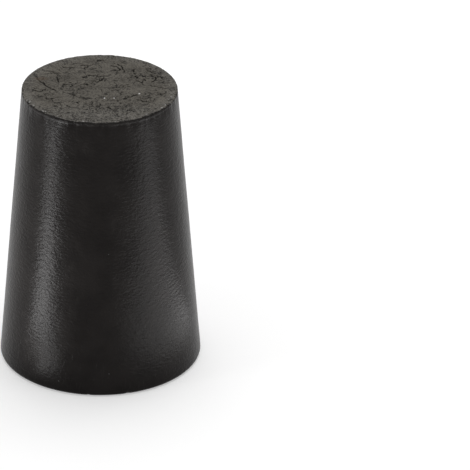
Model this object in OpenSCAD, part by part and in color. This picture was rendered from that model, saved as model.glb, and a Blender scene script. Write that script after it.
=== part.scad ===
// Solid rubber laboratory stopper: one tapered moulding, standing on its large end.
// Origin at the centre of the large end, +Z along the axis towards the small end, millimetres.

/* [Stopper] */
// Diameter of the large end, where the side line would meet the end face
large_end_d = 17; // [12:0.5:60]
// Diameter of the small end, where the side line would meet the end face
small_end_d = 13; // [8:0.5:56]
// Length from end face to end face
length = 24.6; // [15:0.1:60]

/* [Rims] */
// Radius of the large end's rim, eased when the face is ground flat
large_rim_r = 0.35; // [0.1:0.05:1.2]
// Radius of the small end's rim, left by the bottom corner of the mould
small_rim_r = 0.3; // [0.1:0.05:1.2]

/* [Hidden] */
// How far the side line is let into the rim circles, so the union leaves no sliver
let_in = 0.0005;
// Segments of a full turn
turn_fn = 128;
// Segments of a rim's circle
rim_fn = 64;

// Radii of the two ends and the slope of the side from the axis
large_r = large_end_d / 2;
small_r = small_end_d / 2;
taper_angle = atan((large_r - small_r) / length);

// Radius at which the side line stands at height z
function side_r(z) = large_r - z * tan(taper_angle);

// Centre of a rim circle of radius r at height z, tangent to the side line
function rim_centre(r, z) = [side_r(z) - r / cos(taper_angle), z];

// Point where that circle meets the side line
function rim_tangent(r, z) =
    rim_centre(r, z) + (r - let_in) * [cos(taper_angle), sin(taper_angle)];

// Half section of the moulding: the axis, both faces, the side line and the two rims
module half_section() {
    large_z = large_rim_r;
    small_z = length - small_rim_r;
    polygon([
        [0, 0],
        [rim_centre(large_rim_r, large_z).x, 0],
        rim_centre(large_rim_r, large_z),
        rim_tangent(large_rim_r, large_z),
        rim_tangent(small_rim_r, small_z),
        rim_centre(small_rim_r, small_z),
        [rim_centre(small_rim_r, small_z).x, length],
        [0, length]
    ]);
    translate(rim_centre(large_rim_r, large_z)) circle(r = large_rim_r, $fn = rim_fn);
    translate(rim_centre(small_rim_r, small_z)) circle(r = small_rim_r, $fn = rim_fn);
}

// The whole stopper is one solid of revolution, with no bore
module stopper() {
    color([0.13, 0.13, 0.13])
        rotate_extrude($fn = turn_fn) half_section();
}

stopper();
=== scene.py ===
import math
import random
from functools import partial

import bpy
import numpy as np
from mathutils import Matrix, Vector, noise


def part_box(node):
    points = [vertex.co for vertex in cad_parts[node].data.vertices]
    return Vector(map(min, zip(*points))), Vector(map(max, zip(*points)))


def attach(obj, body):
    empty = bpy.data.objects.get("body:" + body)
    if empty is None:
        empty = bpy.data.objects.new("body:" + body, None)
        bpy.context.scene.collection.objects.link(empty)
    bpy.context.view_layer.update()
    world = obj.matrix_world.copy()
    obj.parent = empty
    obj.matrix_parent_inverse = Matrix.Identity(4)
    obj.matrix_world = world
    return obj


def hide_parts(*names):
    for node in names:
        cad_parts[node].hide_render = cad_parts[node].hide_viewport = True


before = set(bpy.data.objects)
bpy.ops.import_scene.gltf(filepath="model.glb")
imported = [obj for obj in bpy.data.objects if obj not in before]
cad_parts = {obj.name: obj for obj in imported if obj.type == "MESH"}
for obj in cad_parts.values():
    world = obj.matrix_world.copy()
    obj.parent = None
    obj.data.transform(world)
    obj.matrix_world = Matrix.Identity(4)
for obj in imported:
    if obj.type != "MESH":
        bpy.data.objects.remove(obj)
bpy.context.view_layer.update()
mm = 0.001

lowest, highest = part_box("stopper")
bodyLength = highest.z - lowest.z


# small helpers for node trees

def addNode(tree, kind, values=None, **settings):
    node = tree.nodes.new(kind)
    for name, value in settings.items():
        setattr(node, name, value)
    for key, value in (values or {}).items():
        if isinstance(value, bpy.types.NodeSocket):
            tree.links.new(value, node.inputs[key])
        else:
            node.inputs[key].default_value = value
    return node


def calc(tree, operation, first, second=0.0, third=0.0):
    node = addNode(tree, "ShaderNodeMath", {0: first, 1: second, 2: third}, operation=operation)
    return node.outputs[0]


def addAll(tree, *terms):
    total = terms[0]
    for term in terms[1:]:
        total = calc(tree, "ADD", total, term)
    return total


def ease(tree, value, start, end, low=0.0, high=1.0):
    # a soft step from low at start to high at end
    step = addNode(tree, "ShaderNodeMapRange", {0: value, 1: start, 2: end, 3: low, 4: high},
                   interpolation_type="SMOOTHSTEP")
    return step.outputs[0]


# the moulding's form: a cube's grid wrapped round the section, so it has no seam and no pole

form = {
    "largeRadius": 8.5 * mm,     # where the side line meets the large end's plane
    "smallRadius": 6.5 * mm,
    "largeRim": 0.35 * mm,
    "smallRim": 0.12 * mm,
    "cellsAcross": 180,          # quads across each end face
    "rowsUp": 38,                # quads from one end face to the other, both rims included
    "rimRows": 6,
}


def squareToDisc(do, x, y):
    # the square becomes a disc whose rings stay evenly spaced
    tie = 1e-7                   # on the diagonals both turns agree, and this picks one of them
    wide = do("GREATER_THAN", do("ADD", do("ABSOLUTE", x), tie), do("ABSOLUTE", y))
    tall = do("SUBTRACT", 1.0, wide)
    reach = do("ADD", do("MULTIPLY", wide, x), do("MULTIPLY", tall, y))
    wideTurn = do("MULTIPLY", do("DIVIDE", y, x), math.pi / 4)
    tallTurn = do("SUBTRACT", math.pi / 2, do("MULTIPLY", do("DIVIDE", x, y), math.pi / 4))
    turn = do("ADD", do("MULTIPLY", wide, wideTurn), do("MULTIPLY", tall, tallTurn))
    return reach, turn


def sectionPoint(do, given, z):
    # radius and height of the section at z from -1 to 1: large rim, straight side, small rim
    climb = do("MULTIPLY_ADD", z, 0.5, 0.5)
    rimShare = do("DIVIDE", given["Rim Rows"], given["Rows Up"])
    largeArc = do("MINIMUM", do("DIVIDE", climb, rimShare), 1.0)
    smallArc = do("DIVIDE", do("SUBTRACT", climb, do("SUBTRACT", 1.0, rimShare)), rimShare)
    smallArc = do("MAXIMUM", smallArc, 0.0)
    sideShare = do("SUBTRACT", 1.0, do("MULTIPLY", rimShare, 2.0))
    straight = do("DIVIDE", do("SUBTRACT", climb, rimShare), sideShare)
    straight = do("MINIMUM", do("MAXIMUM", straight, 0.0), 1.0)
    narrowing = do("SUBTRACT", given["Large Radius"], given["Small Radius"])
    slope = do("ARCTAN2", narrowing, given["Length"])

    def rimCentre(rim, height):
        lineRadius = do("SUBTRACT", given["Large Radius"], do("MULTIPLY", height, do("TANGENT", slope)))
        return do("SUBTRACT", lineRadius, do("DIVIDE", rim, do("COSINE", slope)))

    def between(start, end):
        return do("ADD", start, do("MULTIPLY", do("SUBTRACT", end, start), straight))

    largeZ = given["Large Rim"]
    smallZ = do("SUBTRACT", given["Length"], given["Small Rim"])
    centreRadius = between(rimCentre(given["Large Rim"], largeZ), rimCentre(given["Small Rim"], smallZ))
    centreZ = between(largeZ, smallZ)
    rim = between(given["Large Rim"], given["Small Rim"])
    tilt = do("MULTIPLY", do("ADD", slope, math.pi / 2), largeArc)
    tilt = do("ADD", tilt, do("MULTIPLY", do("SUBTRACT", math.pi / 2, slope), smallArc))
    tilt = do("SUBTRACT", tilt, math.pi / 2)
    radius = do("ADD", centreRadius, do("MULTIPLY", rim, do("COSINE", tilt)))
    height = do("ADD", centreZ, do("MULTIPLY", rim, do("SINE", tilt)))
    return radius, height


def makeFormTree():
    tree = bpy.data.node_groups.new("stopperForm", "GeometryNodeTree")
    face = tree.interface
    sockets = {}
    for name in ("Large Radius", "Small Radius", "Length", "Large Rim", "Small Rim"):
        sockets[name] = face.new_socket(name=name, in_out="INPUT", socket_type="NodeSocketFloat")
    for name in ("Cells Across", "Rows Up", "Rim Rows"):
        sockets[name] = face.new_socket(name=name, in_out="INPUT", socket_type="NodeSocketInt")
    sockets["Finish"] = face.new_socket(name="Finish", in_out="INPUT", socket_type="NodeSocketMaterial")
    face.new_socket(name="Geometry", in_out="OUTPUT", socket_type="NodeSocketGeometry")
    given = tree.nodes.new("NodeGroupInput").outputs

    do = partial(calc, tree)
    cornersAcross = do("ADD", given["Cells Across"], 1.0)
    cube = addNode(tree, "GeometryNodeMeshCube", {
        "Size": (2.0, 2.0, 2.0), "Vertices X": cornersAcross, "Vertices Y": cornersAcross,
        "Vertices Z": do("ADD", given["Rows Up"], 1.0)})
    place = addNode(tree, "GeometryNodeInputPosition").outputs[0]
    x, y, z = addNode(tree, "ShaderNodeSeparateXYZ", {0: place}).outputs
    reach, turn = squareToDisc(do, x, y)
    radius, height = sectionPoint(do, given, z)
    spread = do("MULTIPLY", reach, radius)
    wrapped = addNode(tree, "ShaderNodeCombineXYZ", {
        0: do("MULTIPLY", spread, do("COSINE", turn)),
        1: do("MULTIPLY", spread, do("SINE", turn)),
        2: height})
    moved = addNode(tree, "GeometryNodeSetPosition", {
        "Geometry": cube.outputs["Mesh"], "Position": wrapped.outputs[0]})
    smooth = addNode(tree, "GeometryNodeSetShadeSmooth", {"Geometry": moved.outputs[0]})
    real = addNode(tree, "GeometryNodeRealizeInstances", {"Geometry": smooth.outputs[0]})
    finished = addNode(tree, "GeometryNodeSetMaterial", {
        "Geometry": real.outputs[0], "Material": given["Finish"]})
    addNode(tree, "NodeGroupOutput", {"Geometry": finished.outputs[0]})
    return tree, sockets


def makeMoulding(finish):
    tree, sockets = makeFormTree()
    seed = bpy.data.objects.new("mouldingForm", bpy.data.meshes.new("mouldingForm"))
    bpy.context.scene.collection.objects.link(seed)
    modifier = seed.modifiers.new("form", "NODES")
    modifier.node_group = tree
    values = {
        "Large Radius": form["largeRadius"],
        "Small Radius": form["smallRadius"],
        "Length": bodyLength,
        "Large Rim": form["largeRim"],
        "Small Rim": form["smallRim"],
        "Cells Across": form["cellsAcross"],
        "Rows Up": form["rowsUp"],
        "Rim Rows": form["rimRows"],
        "Finish": finish,
    }
    for name, value in values.items():
        modifier[sockets[name].identifier] = value
    depsgraph = bpy.context.evaluated_depsgraph_get()
    mesh = bpy.data.meshes.new_from_object(seed.evaluated_get(depsgraph), depsgraph=depsgraph)
    bpy.data.objects.remove(seed)
    mesh.name = "moulding"
    piece = bpy.data.objects.new("moulding", mesh)
    bpy.context.scene.collection.objects.link(piece)
    return piece


# relief that is real geometry: creases, pits, the torn lip, the ground end and its number

smallEnd = {
    "sink": 0.05 * mm,           # the face lies this far below the lip's highest point
    "swell": 0.035 * mm,
    "swellSize": 2.4 * mm,
    "grit": 0.018 * mm,
    "gritSizes": (0.42 * mm, 0.20 * mm),
    "creaseDepth": 0.090 * mm,
    "creaseWidth": 0.066 * mm,
    "lip": 0.060 * mm,
    "lipRadius": 6.28 * mm,      # the torn lip runs round the face here
    "lipSpread": 0.14 * mm,
    "tornSizes": (0.55 * mm, 0.22 * mm),
    "bare": 0.5 * mm,            # no pit or short crease starts within this of the side
    "pitCount": 300,
    "pitWidths": (0.05, 0.08),   # every range that a size is drawn from is in mm
    "pitShareElsewhere": 0.03,   # how often a pit is kept away from the clusters
    # x, y and spread of the places where the pits crowd
    "pitClusters": [
        (1.5 * mm, -3.6 * mm, 2.0 * mm),
        (4.2 * mm, 2.4 * mm, 1.4 * mm),
        (-1.5 * mm, -4.4 * mm, 1.5 * mm),
    ],
    "shortCreases": 40,
    "shortLengths": (0.35, 1.3),
    "seed": 11,
}

# the longest folds in the small end's skin, points in mm from the axis
longCreases = [
    [(-4.8, 3.7), (-4.4, 3.4), (-3.8, 3.4)],
    [(-3.1, 4.2), (-2.7, 4.0), (-2.2, 4.1)],
    [(-2.1, 4.1), (-1.7, 4.4), (-1.3, 4.6), (-0.9, 4.2), (-1.3, 3.9)],
    [(-0.3, 4.9), (0.1, 5.4), (0.9, 5.4), (1.5, 4.7), (1.9, 4.1), (2.1, 3.2)],
    [(0.9, 4.4), (1.5, 4.2), (1.7, 3.7)],
    [(-1.5, 2.2), (-1.1, 2.4), (-0.7, 2.7), (-0.2, 2.4), (0.4, 2.4), (0.9, 2.7)],
    [(-0.7, 1.4), (-0.2, 1.4), (0.2, 1.7), (0.4, 2.2)],
    [(-1.6, 2.0), (-1.5, 1.2), (-1.0, 0.9)],
    [(-3.6, 2.4), (-3.4, 1.4), (-3.0, 1.0), (-2.7, 0.7), (-2.5, 1.2)],
    [(-5.4, 2.8), (-5.0, 1.5), (-4.6, 1.0), (-4.2, 0.2), (-3.7, -0.1)],
    [(-6.0, 0.0), (-5.4, -0.2), (-4.9, -0.4), (-4.5, 0.0)],
    [(2.3, 2.0), (2.9, 2.3), (3.3, 2.2), (3.0, 1.9)],
    [(2.8, 3.5), (2.9, 2.9)],
    [(3.8, 1.7), (4.2, 1.2), (4.6, 1.5), (4.7, 2.2)],
    [(4.0, 3.4), (4.6, 3.0), (5.0, 2.4), (5.3, 1.9)],
    [(2.1, -1.7), (2.8, -1.3), (3.1, -1.0)],
    [(2.8, -1.8), (3.5, -2.2), (4.2, -2.5), (4.6, -2.3)],
    [(-2.7, -3.0), (-2.3, -3.5), (-1.9, -3.3)],
    [(-2.1, -2.4), (-1.6, -2.8), (-1.1, -2.6)],
    [(-0.7, -2.5), (-0.6, -3.2), (0.0, -3.3), (0.1, -2.7)],
    [(0.7, -3.3), (1.2, -4.0), (2.1, -3.7), (2.9, -4.2)],
    [(5.7, -2.3), (6.0, -1.9)],
]

largeEnd = {
    "grainTurn": math.radians(38),
    "swell": 0.02 * mm,
    "swellStart": 8.0 * mm,      # the face has no swell outside this radius
    "swellFull": 6.0 * mm,       # and all of it inside this one
    "scratchCount": 16,
    "scratchDepth": 0.03 * mm,
    "scratchWidth": 0.06 * mm,
    "scratchReach": 7.6 * mm,
    "scratchLengths": (0.8, 4.0),
    "numberDepth": 0.22 * mm,
    "strokeWidth": 0.34 * mm,
    "strokeBlur": 0.06 * mm,
    "numberHeight": 2.9 * mm,
    "numberPlace": (0.6 * mm, 3.9 * mm),
    "nickCount": 9,
    "nickDepth": 0.07 * mm,
    "nickRadius": 8.3 * mm,
    "nickTop": 0.32 * mm,
    "nickSizes": (0.08, 0.18),
    "seed": 5,
}

# strokes of a plain 1 and 7, in shares of the number's height
numberStrokes = [
    [(-0.52, 0.28), (-0.30, 0.50), (-0.30, -0.50)],
    [(0.02, 0.50), (0.58, 0.50), (0.22, -0.50)],
]

sideSkin = {
    "swell": 0.030 * mm,
    "swellSize": 5.5 * mm,
    "ripple": 0.006 * mm,
    "rippleSize": 0.9 * mm,
    "lipDrop": 0.08 * mm,        # the torn edge is most uneven this far below the small end
    "lipSpread": 0.10 * mm,
}


def smoothStep(value, start, end):
    share = np.clip((value - start) / (end - start), 0.0, 1.0)
    return share * share * (3.0 - 2.0 * share)


def noiseAt(points, size, offset):
    # one noise value a point, from about -1 to 1, with lumps of the given size
    shift = Vector((offset, -offset, 0.5 * offset))
    return np.array([noise.noise(Vector(point) / size + shift) for point in points])


def lineDistance(points, line):
    # distance of each flat point from a line of joined segments
    nearest = np.full(len(points), np.inf)
    for start, end in zip(line[:-1], line[1:]):
        start, end = np.array(start), np.array(end)
        along = end - start
        share = np.clip(((points - start) @ along) / max(along @ along, 1e-18), 0.0, 1.0)
        nearest = np.minimum(nearest, np.linalg.norm(points - start - share[:, None] * along, axis=1))
    return nearest


def wavyLine(dice, start, heading, length, bend):
    # a short fold that wanders as it goes
    line = [start]
    steps = 7
    for step in range(steps):
        heading += dice.uniform(-bend, bend)
        x, y = line[-1]
        line.append((x + length / steps * math.cos(heading), y + length / steps * math.sin(heading)))
    return line


def roundedLine(line):
    # corners cut twice, so a fold drawn with few points bends softly
    for turn in range(2):
        cut = [line[0]]
        for start, end in zip(line[:-1], line[1:]):
            cut.append(tuple(0.75 * a + 0.25 * b for a, b in zip(start, end)))
            cut.append(tuple(0.25 * a + 0.75 * b for a, b in zip(start, end)))
        line = cut + [line[-1]]
    return line


def foldInto(points, dents, line, width, depth):
    # deepens the points near the line, and leaves alone those that it can't reach
    reach = 4 * width
    inBox = (points > np.min(line, axis=0) - reach) & (points < np.max(line, axis=0) + reach)
    near = np.all(inBox, axis=1)
    if near.any():
        gap = lineDistance(points[near], line)
        dents[near] = np.maximum(dents[near], depth * np.exp(-(gap / width) ** 2))


def clusterShare(x, y):
    # how thickly the pits lie at a point of the small end
    share = 0.0
    for middleX, middleY, spread in smallEnd["pitClusters"]:
        share = share + np.exp(-((x - middleX) ** 2 + (y - middleY) ** 2) / spread ** 2)
    return share


def smallEndDents(flat):
    dice = random.Random(smallEnd["seed"])
    dents = np.zeros(len(flat))
    for line in longCreases:
        line = roundedLine([(x * mm, y * mm) for x, y in line])
        line = [(x + dice.gauss(0.0, 0.04) * mm, y + dice.gauss(0.0, 0.06) * mm) for x, y in line]
        foldInto(flat, dents, line, smallEnd["creaseWidth"], smallEnd["creaseDepth"])
    along = noiseAt(np.column_stack([flat, np.zeros(len(flat))]), 0.45 * mm, 31.0)
    dents *= smoothStep(along, -0.42, 0.05)
    limit = form["smallRadius"] - smallEnd["bare"]
    for crease in range(smallEnd["shortCreases"]):
        turn, reach = dice.uniform(0, 2 * math.pi), limit * math.sqrt(dice.random())
        start = (reach * math.cos(turn), reach * math.sin(turn))
        heading = dice.gauss(0.0, 0.5)
        line = wavyLine(dice, start, heading, dice.uniform(*smallEnd["shortLengths"]) * mm, 0.7)
        depth = dice.uniform(0.4, 0.9) * smallEnd["creaseDepth"]
        foldInto(flat, dents, line, dice.uniform(0.7, 1.0) * smallEnd["creaseWidth"], depth)
    for pit in range(smallEnd["pitCount"]):
        turn, reach = dice.uniform(0, 2 * math.pi), limit * math.sqrt(dice.random())
        x, y = reach * math.cos(turn), reach * math.sin(turn)
        keep = smallEnd["pitShareElsewhere"] + clusterShare(x, y)
        width = dice.uniform(*smallEnd["pitWidths"]) * mm
        depth = dice.uniform(0.45, 1.0) * smallEnd["creaseDepth"]
        slant = (x + dice.uniform(-0.12, 0.12) * mm, y + dice.uniform(-0.05, 0.05) * mm)
        if dice.random() < keep:
            foldInto(flat, dents, [(x, y), slant], width, depth)
    return dents


def largeEndDents(flat):
    dice = random.Random(largeEnd["seed"])
    dents = np.zeros(len(flat))
    grain = largeEnd["grainTurn"]
    for scratch in range(largeEnd["scratchCount"]):
        turn, reach = dice.uniform(0, 2 * math.pi), largeEnd["scratchReach"] * math.sqrt(dice.random())
        start = (reach * math.cos(turn), reach * math.sin(turn))
        heading = grain + dice.gauss(0.0, 0.04)
        line = wavyLine(dice, start, heading, dice.uniform(*largeEnd["scratchLengths"]) * mm, 0.03)
        depth = dice.uniform(0.4, 1.0) * largeEnd["scratchDepth"]
        foldInto(flat, dents, line, largeEnd["scratchWidth"], depth)
    placeX, placeY = largeEnd["numberPlace"]
    height = largeEnd["numberHeight"]
    half, blur = largeEnd["strokeWidth"] / 2, largeEnd["strokeBlur"]
    number = np.zeros(len(flat))
    for stroke in numberStrokes:
        # seen from below, so the strokes run the other way in x
        line = [(placeX - x * height, placeY + y * height) for x, y in stroke]
        gap = lineDistance(flat, line)
        number = np.maximum(number, 1.0 - smoothStep(gap, half - blur, half + blur))
    return dents, number


def smallEndRelief(place, flat, radius, onSmall, broad, torn):
    # how far the face drops, by swells, grit, folds and pits, with the torn lip left high
    coarse, fine = smallEnd["gritSizes"]
    gritty = noiseAt(place, coarse, 7.0) + 0.5 * noiseAt(place, fine, 9.0)
    dents = np.zeros(len(place))
    top = onSmall > 0
    dents[top] = smallEndDents(flat[top])
    lipShare = np.exp(-((radius - smallEnd["lipRadius"]) / smallEnd["lipSpread"]) ** 2)
    lift = lipShare * smallEnd["lip"] * np.clip(torn, 0.0, 1.0)
    drop = smallEnd["sink"] + smallEnd["swell"] * (0.5 + 0.5 * broad) + smallEnd["grit"] * gritty
    return drop + dents - lift, dents


def sideRelief(place, onSide, torn):
    # how far the side stands out, by the mould's slow unevenness and the torn edge, mostly drawn in
    proud = onSide * sideSkin["swell"] * (0.5 * noiseAt(place, sideSkin["swellSize"], 21.0) - 0.55)
    ripple = noiseAt(place * np.array([0.25, 0.25, 1.0]), sideSkin["rippleSize"], 23.0)
    proud += onSide * sideSkin["ripple"] * ripple
    lipHeight = bodyLength - sideSkin["lipDrop"]
    atLip = np.exp(-((place[:, 2] - lipHeight) / sideSkin["lipSpread"]) ** 2)
    return proud + atLip * smallEnd["lip"] * (np.clip(torn, 0.0, 1.2) - 0.75)


def largeEndRelief(flat, radius, onLarge, broad):
    # how far the face rises, by a slight swell, scratches along the grain and a moulded number
    scratches, number = np.zeros(len(flat)), np.zeros(len(flat))
    bottom = onLarge > 0
    scratches[bottom], number[bottom] = largeEndDents(flat[bottom])
    inside = smoothStep(-radius, -largeEnd["swellStart"], -largeEnd["swellFull"])
    ground = largeEnd["swell"] * np.clip(0.5 + 0.5 * broad, 0.0, 1.0) * inside
    return ground + scratches + largeEnd["numberDepth"] * number, scratches, number


def edgeNicks(flat, height):
    # small chips out of the large end's edge
    dice = random.Random(largeEnd["seed"] + 1)
    nicks = np.zeros(len(flat))
    for nick in range(largeEnd["nickCount"]):
        turn = dice.uniform(0, 2 * math.pi)
        spot = largeEnd["nickRadius"] * np.array([math.cos(turn), math.sin(turn)])
        size = dice.uniform(*largeEnd["nickSizes"]) * mm
        chip = np.exp(-(np.linalg.norm(flat - spot, axis=1) / size) ** 2)
        nicks = np.maximum(nicks, chip * (height < largeEnd["nickTop"]))
    return nicks


def carveRelief(mesh):
    count = len(mesh.vertices)
    flatList = np.empty(count * 3, np.float32)
    mesh.vertices.foreach_get("co", flatList)
    place = flatList.reshape(-1, 3).astype(float)
    flat, height = place[:, :2], place[:, 2]
    radius = np.linalg.norm(flat, axis=1)
    outward = flat / np.maximum(radius, 1e-9)[:, None]
    onSmall = smoothStep(height, bodyLength - form["smallRim"], bodyLength - 0.02 * mm)
    onLarge = 1.0 - smoothStep(height, 0.02 * mm, form["largeRim"])
    onSide = (1.0 - onSmall) * (1.0 - onLarge)

    # two unevennesses are shared: a broad one by both ends, a torn one by the lip's top and side
    broad = noiseAt(place, smallEnd["swellSize"], 3.0)
    coarse, fine = smallEnd["tornSizes"]
    torn = 0.5 + 0.5 * noiseAt(place, coarse, 15.0) + 0.35 * noiseAt(place, fine, 16.0)
    drop, dents = smallEndRelief(place, flat, radius, onSmall, broad, torn)
    proud = sideRelief(place, onSide, torn)
    rise, scratches, number = largeEndRelief(flat, radius, onLarge, broad)
    height = height - onSmall * drop
    height = height + onLarge * rise
    nicks = edgeNicks(flat, height)
    proud -= largeEnd["nickDepth"] * nicks

    flat = flat + outward * proud[:, None]
    height = np.clip(height, 0.0, bodyLength)
    mesh.vertices.foreach_set("co", np.column_stack([flat, height]).astype(np.float32).ravel())
    # what the finish reads, as shares from 0 to 1
    marks = {
        "folds": dents / smallEnd["creaseDepth"],
        "clusters": clusterShare(flat[:, 0], flat[:, 1]) * onSmall,
        "number": number,
        "nicks": nicks,
        "scratches": scratches / largeEnd["scratchDepth"],
    }
    for name, values in marks.items():
        attribute = mesh.attributes.new(name, "FLOAT", "POINT")
        attribute.data.foreach_set("value", np.clip(values, 0.0, 1.0).astype(np.float32))
    mesh.update()


# black rubber: a glossy moulded side, a matt torn end and a ground end

rubber = {
    "ior": 1.15,                 # a weak mirror, so that the black stays deep
    "specular": 0.6,
    "sideDark": (0.0072, 0.0060, 0.0056, 1.0),
    "sidePale": (0.0110, 0.0094, 0.0088, 1.0),
    "sideFilm": (0.018, 0.016, 0.015, 1.0),
    "sideSpeck": (0.10, 0.10, 0.10, 1.0),
    "smallDark": (0.026, 0.0235, 0.0195, 1.0),
    "smallPale": (0.126, 0.116, 0.099, 1.0),
    # the pale that is painted on the small end's rim as a highlight
    "smallRimHighlight": (0.170, 0.162, 0.150, 1.0),
    "foldShade": (0.006, 0.005, 0.004, 1.0),
    "stain": (0.090, 0.066, 0.049, 1.0),
    "groundDark": (0.075, 0.071, 0.066, 1.0),
    "groundPale": (0.150, 0.142, 0.132, 1.0),
    "dust": (0.75, 0.75, 0.75, 1.0),
}


def mixColour(tree, share, first, second):
    node = addNode(tree, "ShaderNodeMix", {0: share, 6: first, 7: second}, data_type="RGBA")
    return node.outputs[2]


def mixNumber(tree, share, first, second):
    return addNode(tree, "ShaderNodeMix", {0: share, 2: first, 3: second}).outputs[0]


def noiseNode(tree, place, size, detail, roughness=0.55, stretch=(1.0, 1.0, 1.0), turn=0.0, wander=0.0):
    # noise with lumps of the given size in metres, drawn out by stretch
    moved = addNode(tree, "ShaderNodeMapping", {
        "Vector": place, "Rotation": (0.0, 0.0, turn),
        "Scale": tuple(1.0 / (size * part) for part in stretch)}, vector_type="POINT")
    return addNode(tree, "ShaderNodeTexNoise", {
        "Vector": moved.outputs[0], "Scale": 1.0, "Detail": detail, "Roughness": roughness,
        "Distortion": wander}).outputs["Fac"]


def attributeNode(tree, name):
    return addNode(tree, "ShaderNodeAttribute", attribute_name=name).outputs["Fac"]


def speckle(tree, place, spacing, size, share):
    # sparse round specks: only a share of the cells holds one
    cells = addNode(tree, "ShaderNodeTexVoronoi", {"Vector": place, "Scale": 1.0 / spacing})
    drawn = addNode(tree, "ShaderNodeSeparateColor", {0: cells.outputs["Color"]}).outputs[0]
    chosen = calc(tree, "GREATER_THAN", drawn, 1.0 - share)
    near = ease(tree, cells.outputs["Distance"], size / spacing, 0.5 * size / spacing)
    return calc(tree, "MULTIPLY", chosen, near)


# in the three textures a length is a lump's size or a place on the stopper, a bump is in mm,
# and a roughness is 0 for a mirror and 1 for chalk
sideTexture = {
    "mottle": 2.6 * mm,
    "film": 1.6 * mm,
    "filmShare": 0.55,
    "wrinkle": 0.20 * mm,
    "wrinkleBump": 0.040,
    "pebble": 0.16 * mm,
    "pebbleBump": 0.013,
    "hair": 0.09 * mm,
    "hairTop": 6.5 * mm,         # hairlines run up from the foot and have faded out at this height
    "hairFull": 1.0 * mm,
    "hairBump": -0.010,
    "speck": 0.055 * mm,
    "speckSpacing": 0.7 * mm,
    "speckShare": 0.035,
    "roughness": 0.175,
    "lipStart": 0.35 * mm,       # below the small end
    "lipFull": 0.12 * mm,
    "lipRoughness": 0.30,
    "lipBump": 0.10,
}


def sideFinish(tree, place, z):
    look = sideTexture
    mottle = noiseNode(tree, place, look["mottle"], 5.0)
    colour = mixColour(tree, ease(tree, mottle, 0.32, 0.68), rubber["sideDark"], rubber["sidePale"])
    film = noiseNode(tree, place, look["film"], 6.0, 0.65, (1.0, 1.0, 2.2))
    filmed = ease(tree, film, 0.56, 0.74, 0.0, look["filmShare"])
    colour = mixColour(tree, filmed, colour, rubber["sideFilm"])
    wrinkle = noiseNode(tree, place, look["wrinkle"], 2.0, 0.5, (2.0, 2.0, 1.0), 0.0, 0.5)
    pebble = noiseNode(tree, place, look["pebble"], 1.0)
    hair = ease(tree, noiseNode(tree, place, look["hair"], 1.0, 0.5, (1.0, 1.0, 60.0)), 0.66, 0.74)
    hair = calc(tree, "MULTIPLY", hair, ease(tree, z, look["hairTop"], look["hairFull"]))
    colour = mixColour(tree, calc(tree, "MULTIPLY", hair, 0.5), colour, rubber["sideFilm"])
    specks = speckle(tree, place, look["speckSpacing"], look["speck"], look["speckShare"])
    colour = mixColour(tree, specks, colour, rubber["sideSpeck"])
    roughness = addAll(tree, calc(tree, "MULTIPLY", mottle, 0.12),
                       calc(tree, "MULTIPLY", film, 0.12), look["roughness"])
    bump = addAll(tree, calc(tree, "MULTIPLY", wrinkle, look["wrinkleBump"]),
                  calc(tree, "MULTIPLY", pebble, look["pebbleBump"]),
                  calc(tree, "MULTIPLY", hair, look["hairBump"]))
    # the rim under the torn lip is dull and rough
    lip = ease(tree, z, bodyLength - look["lipStart"], bodyLength - look["lipFull"])
    roughness = calc(tree, "ADD", roughness, calc(tree, "MULTIPLY", lip, look["lipRoughness"]))
    rimBump = calc(tree, "MULTIPLY", calc(tree, "MULTIPLY", lip, pebble), look["lipBump"])
    return colour, roughness, calc(tree, "ADD", bump, rimBump)


smallTexture = {
    "patch": 1.3 * mm,
    "patchBump": 0.03,
    "grit": 0.13 * mm,
    "gritBump": 0.085,
    "hairline": 0.95 * mm,
    "hairlineGap": 0.80 * mm,
    "hairlineBump": -0.06,
    "pit": 0.27 * mm,
    "pitBump": -0.04,
    "pitShareNear": 0.65,        # how dark the pits are towards the near edge, off the clusters
    "rimHighlightStart": 5.2 * mm,       # the grit is painted pale, as a highlight, from here to the edge
    "rimHighlightFull": 6.2 * mm,
    "rimHighlightShare": 0.62,
    # painted glints: bright specks on the rim, towards the near side
    "glint": 0.10 * mm,
    "glintSpacing": 0.26 * mm,
    "glintShare": 0.34,
    "glintStart": 5.90 * mm,
    "glintFull": 6.15 * mm,
    "glintStrength": 0.42,
    "stainPlace": (-4.9 * mm, 2.0 * mm),
    "stainHalf": (0.75 * mm, 0.42 * mm),
    "stainShare": 0.55,
    "dust": 0.045 * mm,
    "dustSpacing": 0.8 * mm,
    "dustShare": 0.10,
    "dustSpots": [(0.4 * mm, -1.7 * mm), (1.2 * mm, -1.7 * mm), (3.3 * mm, -0.9 * mm)],
    "dustSpotEdge": (0.09 * mm, 0.05 * mm),
    "roughness": 0.58,
}


def skinFolds(tree, place, y):
    # hairlines, pits and the real folds, each as a share from 0 to 1
    look = smallTexture
    # hairlines follow the level lines of a slow noise, broken up by a second one
    level = noiseNode(tree, place, look["hairline"], 3.0, 0.5, (1.3, 1.0, 1.0), 0.0, 0.8)
    line = ease(tree, calc(tree, "ABSOLUTE", calc(tree, "SUBTRACT", level, 0.5)), 0.030, 0.008)
    gaps = ease(tree, noiseNode(tree, place, look["hairlineGap"], 2.0), 0.44, 0.54)
    line = calc(tree, "MULTIPLY", line, gaps)
    cells = addNode(tree, "ShaderNodeTexVoronoi", {"Vector": place, "Scale": 1.0 / look["pit"]})
    pit = ease(tree, cells.outputs["Distance"], 0.46, 0.24)
    near = calc(tree, "MULTIPLY", ease(tree, y, -1.5 * mm, -4.5 * mm), look["pitShareNear"])
    pit = calc(tree, "MULTIPLY", pit, calc(tree, "MAXIMUM", near, attributeNode(tree, "clusters")))
    folds = ease(tree, attributeNode(tree, "folds"), 0.22, 0.75)
    return line, pit, folds


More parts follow.
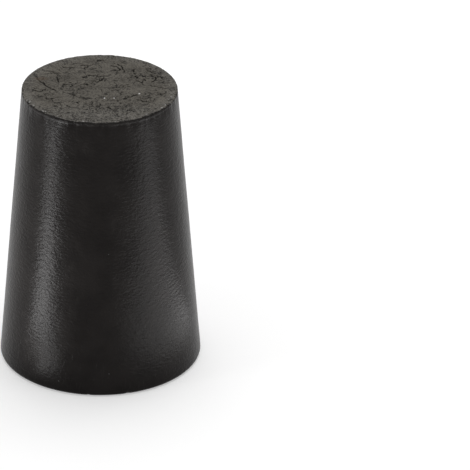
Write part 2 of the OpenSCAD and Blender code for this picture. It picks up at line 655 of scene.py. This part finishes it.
def paintedRimHighlight(tree, place, y, radius, grit, colour):
    # painted highlight: the grit is painted pale round the edge and towards the near side, with painted
    # glints on it
    look = smallTexture
    atEdge = ease(tree, radius, look["rimHighlightStart"], look["rimHighlightFull"])
    rimLit = calc(tree, "MAXIMUM", atEdge, ease(tree, y, -2.0 * mm, -5.0 * mm))
    rimLit = calc(tree, "MULTIPLY", rimLit, ease(tree, grit, 0.42, 0.60))
    colour = mixColour(tree, calc(tree, "MULTIPLY", rimLit, look["rimHighlightShare"]), colour, rubber["smallRimHighlight"])
    # painted glints on the rim, drawn in the dust's white
    glint = speckle(tree, place, look["glintSpacing"], look["glint"], look["glintShare"])
    glint = calc(tree, "MULTIPLY", glint, ease(tree, radius, look["glintStart"], look["glintFull"]))
    glint = calc(tree, "MULTIPLY", glint, ease(tree, y, 1.0 * mm, -3.0 * mm))
    return mixColour(tree, calc(tree, "MULTIPLY", glint, look["glintStrength"]), colour, rubber["dust"])


def stainAndDust(tree, place, x, y, patches, colour):
    look = smallTexture
    stainX, stainY = look["stainPlace"]
    halfX, halfY = look["stainHalf"]
    across = calc(tree, "DIVIDE", calc(tree, "SUBTRACT", x, stainX), halfX)
    back = calc(tree, "DIVIDE", calc(tree, "SUBTRACT", y, stainY), halfY)
    spread = addAll(tree, calc(tree, "MULTIPLY", across, across),
                    calc(tree, "MULTIPLY", back, back), patches)
    stained = ease(tree, spread, 1.5, 0.6, 0.0, look["stainShare"])
    colour = mixColour(tree, stained, colour, rubber["stain"])
    dusty = speckle(tree, place, look["dustSpacing"], look["dust"], look["dustShare"])
    colour = mixColour(tree, dusty, colour, rubber["dust"])
    outer, inner = look["dustSpotEdge"]
    for spotX, spotY in look["dustSpots"]:
        spot = (spotX, spotY, bodyLength - smallEnd["sink"])
        gap = addNode(tree, "ShaderNodeVectorMath", {0: place, 1: spot}, operation="DISTANCE")
        onSpot = ease(tree, gap.outputs["Value"], outer, inner)
        colour = mixColour(tree, onSpot, colour, rubber["dust"])
    return colour


def smallEndFinish(tree, place, x, y, radius):
    look = smallTexture
    patches = noiseNode(tree, place, look["patch"], 6.0, 0.62, (1.5, 1.0, 1.0))
    grit = noiseNode(tree, place, look["grit"], 5.0, 0.72, (1.1, 1.0, 1.0))
    tone = addAll(tree, calc(tree, "MULTIPLY", patches, 0.28), calc(tree, "MULTIPLY", grit, 0.72))
    colour = mixColour(tree, ease(tree, tone, 0.36, 0.58), rubber["smallDark"], rubber["smallPale"])
    line, pit, folds = skinFolds(tree, place, y)
    dark = addAll(tree, calc(tree, "MULTIPLY", line, 0.85), pit, calc(tree, "MULTIPLY", folds, 0.95))
    dark = calc(tree, "MINIMUM", dark, 1.0)
    colour = mixColour(tree, dark, colour, rubber["foldShade"])
    # painted highlight and painted glints round the rim and towards the near side
    colour = paintedRimHighlight(tree, place, y, radius, grit, colour)
    colour = stainAndDust(tree, place, x, y, patches, colour)
    roughness = calc(tree, "ADD", calc(tree, "MULTIPLY", grit, 0.2), look["roughness"])
    bump = addAll(tree, calc(tree, "MULTIPLY", grit, look["gritBump"]),
                  calc(tree, "MULTIPLY", line, look["hairlineBump"]),
                  calc(tree, "MULTIPLY", pit, look["pitBump"]),
                  calc(tree, "MULTIPLY", patches, look["patchBump"]))
    return colour, roughness, bump


groundTexture = {
    "grain": 0.10 * mm,
    "grainBump": 0.030,
    "coarse": 0.32 * mm,
    "coarseBump": 0.020,
    "cloud": 2.2 * mm,
    "markBump": -0.02,
    "edgeStart": 8.0 * mm,       # the ground face darkens towards its edge
    "edgeFull": 8.25 * mm,
    "roughness": 0.62,
    "smoothRoughness": 0.38,     # in the number and at the edge
}


def largeEndFinish(tree, place, radius):
    look = groundTexture
    turn = -largeEnd["grainTurn"]
    grain = noiseNode(tree, place, look["grain"], 4.0, 0.6, (22.0, 1.0, 1.0), turn)
    coarse = noiseNode(tree, place, look["coarse"], 3.0, 0.6, (12.0, 1.0, 1.0), turn)
    cloud = noiseNode(tree, place, look["cloud"], 4.0)
    mixed = addAll(tree, calc(tree, "MULTIPLY", grain, 0.45), calc(tree, "MULTIPLY", coarse, 0.25),
                   calc(tree, "MULTIPLY", cloud, 0.30))
    colour = mixColour(tree, ease(tree, mixed, 0.38, 0.62), rubber["groundDark"], rubber["groundPale"])
    score = ease(tree, coarse, 0.36, 0.30)
    marks = calc(tree, "MAXIMUM", attributeNode(tree, "scratches"), calc(tree, "MULTIPLY", score, 0.6))
    colour = mixColour(tree, calc(tree, "MULTIPLY", marks, 0.6), colour, rubber["foldShade"])
    number = attributeNode(tree, "number")
    colour = mixColour(tree, calc(tree, "MULTIPLY", number, 0.8), colour, rubber["sidePale"])
    edge = ease(tree, radius, look["edgeStart"], look["edgeFull"])
    colour = mixColour(tree, calc(tree, "MULTIPLY", edge, 0.8), colour, rubber["sideFilm"])
    smooth = calc(tree, "MAXIMUM", number, edge)
    roughness = mixNumber(tree, smooth, look["roughness"], look["smoothRoughness"])
    bump = addAll(tree, calc(tree, "MULTIPLY", grain, look["grainBump"]),
                  calc(tree, "MULTIPLY", coarse, look["coarseBump"]),
                  calc(tree, "MULTIPLY", marks, look["markBump"]))
    return colour, roughness, bump


# where the finishes meet, as radii and heights
seams = {
    "smallNear": 6.31 * mm,      # the torn skin ends here at the near edge
    "smallFar": 6.44 * mm,       # and here round the rest
    "smallDepth": 0.20 * mm,     # and at most this far down the rim
    "large": 8.14 * mm,          # the ground face ends here, and at most this far up
    "largeHeight": 0.5 * mm,
    "wanderSize": 0.30 * mm,
    "wander": 0.60 * mm,
    "blur": 0.03 * mm,
}


def finishShares(tree, place, y, z, radius):
    # how far each end's finish holds, from 0 to 1: they meet the side's along ragged lines on the rims
    ragged = calc(tree, "SUBTRACT", noiseNode(tree, place, seams["wanderSize"], 4.0, 0.65), 0.5)
    ragged = calc(tree, "ADD", radius, calc(tree, "MULTIPLY", ragged, seams["wander"]))
    smallSeam = ease(tree, y, -5.6 * mm, -1.5 * mm, seams["smallNear"], seams["smallFar"])
    onSmall = ease(tree, calc(tree, "SUBTRACT", ragged, smallSeam), seams["blur"], -seams["blur"])
    nearTop = calc(tree, "GREATER_THAN", z, bodyLength - seams["smallDepth"])
    onSmall = calc(tree, "MULTIPLY", onSmall, nearTop)
    onLarge = ease(tree, ragged, seams["large"], seams["large"] - 2 * seams["blur"])
    nearFloor = calc(tree, "LESS_THAN", z, seams["largeHeight"])
    return onSmall, calc(tree, "MULTIPLY", onLarge, nearFloor)


def makeRubber():
    material = bpy.data.materials.new("blackRubber")
    material.use_nodes = True
    tree = material.node_tree
    shader = tree.nodes["Principled BSDF"]
    shader.inputs["IOR"].default_value = rubber["ior"]
    shader.inputs["Specular IOR Level"].default_value = rubber["specular"]
    place = addNode(tree, "ShaderNodeTexCoord").outputs["Object"]
    x, y, z = addNode(tree, "ShaderNodeSeparateXYZ", {0: place}).outputs
    radius = calc(tree, "ADD", calc(tree, "MULTIPLY", x, x), calc(tree, "MULTIPLY", y, y))
    radius = calc(tree, "SQRT", radius)

    onSmall, onLarge = finishShares(tree, place, y, z, radius)
    sideColour, sideRoughness, sideBump = sideFinish(tree, place, z)
    smallColour, smallRoughness, smallBump = smallEndFinish(tree, place, x, y, radius)
    largeColour, largeRoughness, largeBump = largeEndFinish(tree, place, radius)
    nicks = calc(tree, "MULTIPLY", attributeNode(tree, "nicks"), 0.6)
    sideColour = mixColour(tree, nicks, sideColour, rubber["groundDark"])
    colour = mixColour(tree, onSmall, sideColour, smallColour)
    colour = mixColour(tree, onLarge, colour, largeColour)
    roughness = mixNumber(tree, onSmall, sideRoughness, smallRoughness)
    roughness = mixNumber(tree, onLarge, roughness, largeRoughness)
    bump = mixNumber(tree, onSmall, sideBump, smallBump)
    bump = mixNumber(tree, onLarge, bump, largeBump)
    raised = addNode(tree, "ShaderNodeBump", {"Height": bump, "Strength": 1.0, "Distance": mm})
    tree.links.new(colour, shader.inputs["Base Color"])
    tree.links.new(roughness, shader.inputs["Roughness"])
    tree.links.new(raised.outputs[0], shader.inputs["Normal"])
    return material


finish = makeRubber()
moulding = makeMoulding(finish)
print("moulding formed,", len(moulding.data.vertices), "points")
carveRelief(moulding.data)
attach(moulding, "root")
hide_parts("stopper")
print("relief carved")


# studio: pale floor, even surroundings, three soft lamps, three low panels and the camera

studio = {
    "floorColour": (0.80, 0.80, 0.80, 1.0),
    "floorLift": 0.32,           # what the camera sees is whitened by this much
    "surroundings": 0.55,        # light from all round; what is seen there is plain white
    "floorHalf": 3.0,
    "floorDrop": 0.02 * mm,      # just below the stopper's foot
    "panelHeight": 0.5 * mm,
}

lamps = {
    "topLamp": {"place": (0.05, 0.20, 0.60), "wide": 0.50, "long": 0.50, "power": 1.7},
    "leftLamp": {"place": (-0.556, -0.225, 0.19), "wide": 0.12, "long": 0.36, "power": 0.45},
    "rightLamp": {"place": (0.564, -0.205, 0.19), "wide": 0.26, "long": 0.36, "power": 0.4},
}

# light panels that lie on the floor, facing up: they streak the side and leave the top alone;
# turn is in degrees about the axis, the rest is in metres and watts
panels = {
    "leftPanel": {
        "turn": -71, "reach": 0.0895, "aside": 0.0035, "wide": 0.008, "long": 0.144, "power": 0.068},
    # a small one close in lights the foot of the left streak
    "leftNearPanel": {
        "turn": -71, "reach": 0.013, "aside": 0.006, "wide": 0.004, "long": 0.007, "power": 0.0006},
    "rightPanel": {
        "turn": 70, "reach": 0.085, "aside": -0.0045, "wide": 0.026, "long": 0.144, "power": 0.044},
}

lens = {
    "focal": 525.0,
    "back": 0.510,               # metres from the stopper's axis
    "up": 0.2786,                # metres above its foot
    "yaw": math.radians(-1.273),
    "pitch": math.radians(-27.70),
    "roll": math.radians(-0.38),
}


def seenRays(tree):
    # 1 for what the camera, gloss or glass sees, 0 for the light that falls on things
    path = addNode(tree, "ShaderNodeLightPath")
    seen = calc(tree, "MAXIMUM", path.outputs["Is Camera Ray"], path.outputs["Is Glossy Ray"])
    return calc(tree, "MAXIMUM", seen, path.outputs["Is Transmission Ray"])


def makeFloor():
    half, level = studio["floorHalf"], -studio["floorDrop"]
    corners = [(-half, -half, level), (half, -half, level), (half, half, level), (-half, half, level)]
    mesh = bpy.data.meshes.new("floor")
    mesh.from_pydata(corners, [], [(0, 1, 2, 3)])
    floor = bpy.data.objects.new("floor", mesh)
    bpy.context.scene.collection.objects.link(floor)
    material = bpy.data.materials.new("floorPaint")
    material.use_nodes = True
    tree = material.node_tree
    tree.nodes.remove(tree.nodes["Principled BSDF"])
    matt = addNode(tree, "ShaderNodeBsdfDiffuse", {"Color": studio["floorColour"]})
    lift = addNode(tree, "ShaderNodeEmission", {
        "Strength": calc(tree, "MULTIPLY", seenRays(tree), studio["floorLift"])})
    both = addNode(tree, "ShaderNodeAddShader", {0: matt.outputs[0], 1: lift.outputs[0]})
    # the floor's underside lets the view through, so the stopper can be seen from below
    clear = addNode(tree, "ShaderNodeBsdfTransparent")
    underside = addNode(tree, "ShaderNodeNewGeometry").outputs["Backfacing"]
    whole = addNode(tree, "ShaderNodeMixShader", {0: underside, 1: both.outputs[0], 2: clear.outputs[0]})
    tree.links.new(whole.outputs[0], tree.nodes["Material Output"].inputs["Surface"])
    mesh.materials.append(material)


def makeWorld():
    world = bpy.data.worlds.new("surroundings")
    bpy.context.scene.world = world
    world.use_nodes = True
    tree = world.node_tree
    level = mixNumber(tree, seenRays(tree), studio["surroundings"], 1.0)
    tree.nodes["Background"].inputs["Color"].default_value = (1.0, 1.0, 1.0, 1.0)
    tree.links.new(level, tree.nodes["Background"].inputs["Strength"])


def makeLight(name, values):
    light = bpy.data.lights.new(name, "AREA")
    light.shape = "RECTANGLE"
    light.size = values["wide"]
    light.size_y = values["long"]
    light.energy = values["power"]
    holder = bpy.data.objects.new(name, light)
    bpy.context.scene.collection.objects.link(holder)
    return holder


def makeLamps():
    aim = Vector((0.0, 0.0, bodyLength / 2))
    for name, values in lamps.items():
        holder = makeLight(name, values)
        holder.location = values["place"]
        holder.rotation_euler = (aim - holder.location).to_track_quat("-Z", "Y").to_euler()


def makePanels():
    for name, values in panels.items():
        holder = makeLight(name, values)
        turn = math.radians(values["turn"])
        along = Vector((math.sin(turn), -math.cos(turn), 0.0))
        across = Vector((math.cos(turn), math.sin(turn), 0.0))
        holder.location = values["reach"] * along + values["aside"] * across
        holder.location.z = studio["panelHeight"]
        holder.rotation_euler = (math.pi, 0.0, turn)
        holder.visible_camera = False


def makeCamera():
    camera = bpy.data.cameras.new("camera")
    camera.sensor_width = 36.0
    camera.lens = lens["focal"]
    camera.clip_start = 0.01
    camera.clip_end = 20.0
    holder = bpy.data.objects.new("camera", camera)
    facing = Matrix.Rotation(lens["yaw"], 4, "Z") @ Matrix.Rotation(lens["pitch"], 4, "X")
    facing = facing @ Matrix.Rotation(lens["roll"], 4, "Y") @ Matrix.Rotation(math.pi / 2, 4, "X")
    middle = (lowest + highest) / 2
    stand = Matrix.Translation((middle.x, middle.y - lens["back"], lowest.z + lens["up"]))
    holder.matrix_world = stand @ facing
    bpy.context.scene.collection.objects.link(holder)
    bpy.context.scene.camera = holder


makeFloor()
makeWorld()
makeLamps()
makePanels()
makeCamera()
bpy.context.scene.view_settings.view_transform = "Standard"
print("studio ready")
